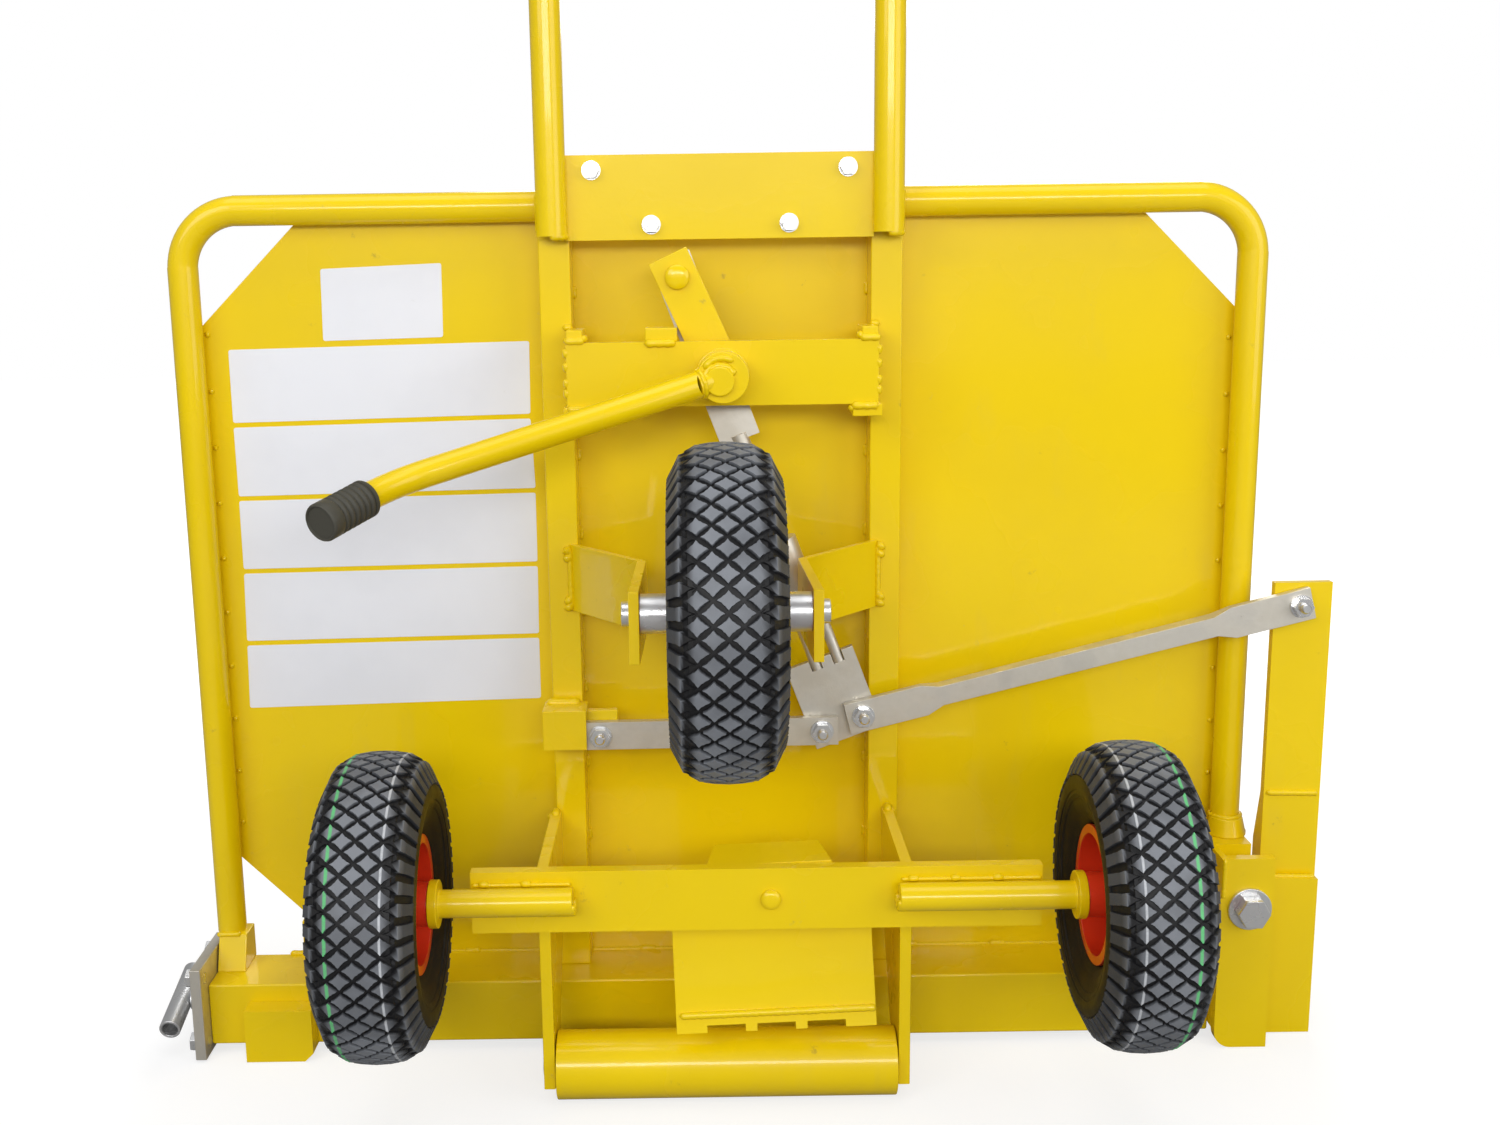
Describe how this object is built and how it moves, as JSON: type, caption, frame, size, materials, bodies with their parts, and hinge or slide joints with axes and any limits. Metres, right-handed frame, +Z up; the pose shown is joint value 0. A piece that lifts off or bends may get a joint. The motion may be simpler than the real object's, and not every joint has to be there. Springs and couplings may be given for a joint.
{
  "type": "brick cart",
  "caption": "Upright clamp cart on pneumatic wheels: a lever closes side jaws on a slice of bricks held against a sheet-backed tube frame, and a ground roller tips it back to roll.",
  "frame": {"origin": "on the floor, under the middle of the cart's overall box", "axes": "+Z up, +X to the operator's right along the axle, +Y away from the operator towards the load"},
  "size_m": [1.094, 0.5837, 1.1994],
  "materials": {
    "yellow_paint": "glossy yellow enamel with weld seams showing through",
    "zinc_steel": "bare and zinc-plated steel",
    "tyre_rubber": "black rubber with a diamond block tread",
    "red_paint": "red enamel",
    "grip_rubber": "black ribbed rubber"
  },
  "bodies": {
    "frame": {"back_sheet": "yellow_paint", "left_frame_tube": "yellow_paint", "right_frame_tube": "yellow_paint", "tube_end_fittings": "yellow_paint", "left_rail": "yellow_paint", "right_rail": "yellow_paint", "rail_tie_plate": "yellow_paint", "left_handle_tube": "yellow_paint", "right_handle_tube": "yellow_paint", "handle_grips": "grip_rubber", "handle_cross_plate": "yellow_paint", "handle_bolts": "zinc_steel", "lever_cross_plate": "yellow_paint", "lever_plate_tabs": "yellow_paint", "crank_stop": "yellow_paint", "left_wheel_bracket": "yellow_paint", "right_wheel_bracket": "yellow_paint", "support_axle": "zinc_steel", "support_spacers": "zinc_steel", "link_bracket": "yellow_paint", "link_pivot_bolt": "zinc_steel", "axle_beam": "yellow_paint", "axle_stubs": "yellow_paint", "axle_retainers": "zinc_steel", "left_side_plate": "yellow_paint", "right_side_plate": "yellow_paint", "roller_axle": "zinc_steel", "bottom_beam": "yellow_paint", "end_plate": "zinc_steel", "end_plate_bolts": "zinc_steel", "arm_pivot_bracket": "yellow_paint", "arm_pivot_bolt": "zinc_steel", "pedal_pin": "yellow_paint"},
    "left_wheel": {"left_tyre": "tyre_rubber", "left_rim": "red_paint"},
    "right_wheel": {"right_tyre": "tyre_rubber", "right_rim": "red_paint"},
    "support_wheel": {"support_tyre": "tyre_rubber", "support_rim": "red_paint"},
    "roller": {"ground_roller": "yellow_paint"},
    "lever": {"lever_tube": "yellow_paint", "lever_grip": "grip_rubber", "lever_shaft": "yellow_paint", "crank_arm": "yellow_paint", "crank_pin": "yellow_paint"},
    "pull_rod": {"pull_bar": "zinc_steel", "spring_sleeve": "zinc_steel", "disc_springs": "zinc_steel"},
    "left_link": {"left_link": "zinc_steel"},
    "toggle": {"toggle_plate": "zinc_steel", "toggle_bolt": "zinc_steel", "pull_rods": "zinc_steel"},
    "right_link": {"right_link": "zinc_steel", "right_link_bolts": "zinc_steel"},
    "clamp_arm": {"clamp_arm": "yellow_paint", "right_jaw": "yellow_paint"},
    "left_jaw": {"left_jaw": "yellow_paint"},
    "screw": {"adjusting_screw": "zinc_steel", "screw_socket": "zinc_steel"},
    "pedal": {"tilt_pedal": "yellow_paint"}
  },
  "joints": [
    {"name": "clamp_lever", "type": "hinge", "parent": "frame", "child": "lever", "pos_m": [-0.007, 0.07635, 0.636], "axis": [0, 1, 0], "range_deg": [0, 60]},
    {"name": "pull_rod_turn", "type": "hinge", "parent": "lever", "child": "pull_rod", "pos_m": [-0.04528, 0.07635, 0.71999], "axis": [0, 1, 0], "range_deg": [-48, 0]},
    {"name": "left_link_swing", "type": "hinge", "parent": "frame", "child": "left_link", "pos_m": [-0.123, 0.07635, 0.305], "axis": [0, 1, 0], "range_deg": [0, 8]},
    {"name": "toggle_turn", "type": "hinge", "parent": "left_link", "child": "toggle", "pos_m": [0.081, 0.07635, 0.3065], "axis": [0, 1, 0], "range_deg": [0, 6]},
    {"name": "clamp_arm_swing", "type": "hinge", "parent": "frame", "child": "clamp_arm", "pos_m": [0.4735, 0.07635, 0.139], "axis": [0, 1, 0], "range_deg": [-2, 0]},
    {"name": "right_link_turn", "type": "hinge", "parent": "clamp_arm", "child": "right_link", "pos_m": [0.516, 0.07635, 0.418], "axis": [0, 1, 0], "range_deg": [-3.6, 0]},
    {"name": "left_wheel_spin", "type": "hinge", "parent": "frame", "child": "left_wheel", "pos_m": [-0.30125, -0.07515, 0.203], "axis": [1, 0, 0], "continuous": true},
    {"name": "right_wheel_spin", "type": "hinge", "parent": "frame", "child": "right_wheel", "pos_m": [0.33125, -0.07515, 0.203], "axis": [1, 0, 0], "continuous": true},
    {"name": "support_wheel_spin", "type": "hinge", "parent": "frame", "child": "support_wheel", "pos_m": [-0.01, -0.16185, 0.4715], "axis": [1, 0, 0], "continuous": true},
    {"name": "roller_spin", "type": "hinge", "parent": "frame", "child": "roller", "pos_m": [-0.007, -0.03015, 0.03015], "axis": [1, 0, 0], "continuous": true},
    {"name": "screw_turn", "type": "hinge", "parent": "frame", "child": "screw", "pos_m": [-0.505, 0.09435, 0.038], "axis": [1, 0, 0], "range_deg": [-1440, 3600]},
    {"name": "left_jaw_slide", "type": "slide", "parent": "frame", "child": "left_jaw", "axis": [1, 0, 0], "range_m": [-0.0241, 0.0601]},
    {"name": "pedal_swing", "type": "hinge", "parent": "frame", "child": "pedal", "pos_m": [0.0272, -0.05715, 0.198], "axis": [0, 1, 0], "range_deg": [-2, 7]}
  ],
  "couplings": [
    {"joint": "pull_rod_turn", "follows": "clamp_lever", "ratio": -0.784},
    {"joint": "left_link_swing", "follows": "clamp_lever", "ratio": 0.124},
    {"joint": "toggle_turn", "follows": "clamp_lever", "ratio": 0.093},
    {"joint": "clamp_arm_swing", "follows": "clamp_lever", "ratio": -0.0315},
    {"joint": "right_link_turn", "follows": "clamp_lever", "ratio": -0.0568},
    {"joint": "left_jaw_slide", "follows": "screw_turn", "m_per_rad": 0.00095493}
  ]
}
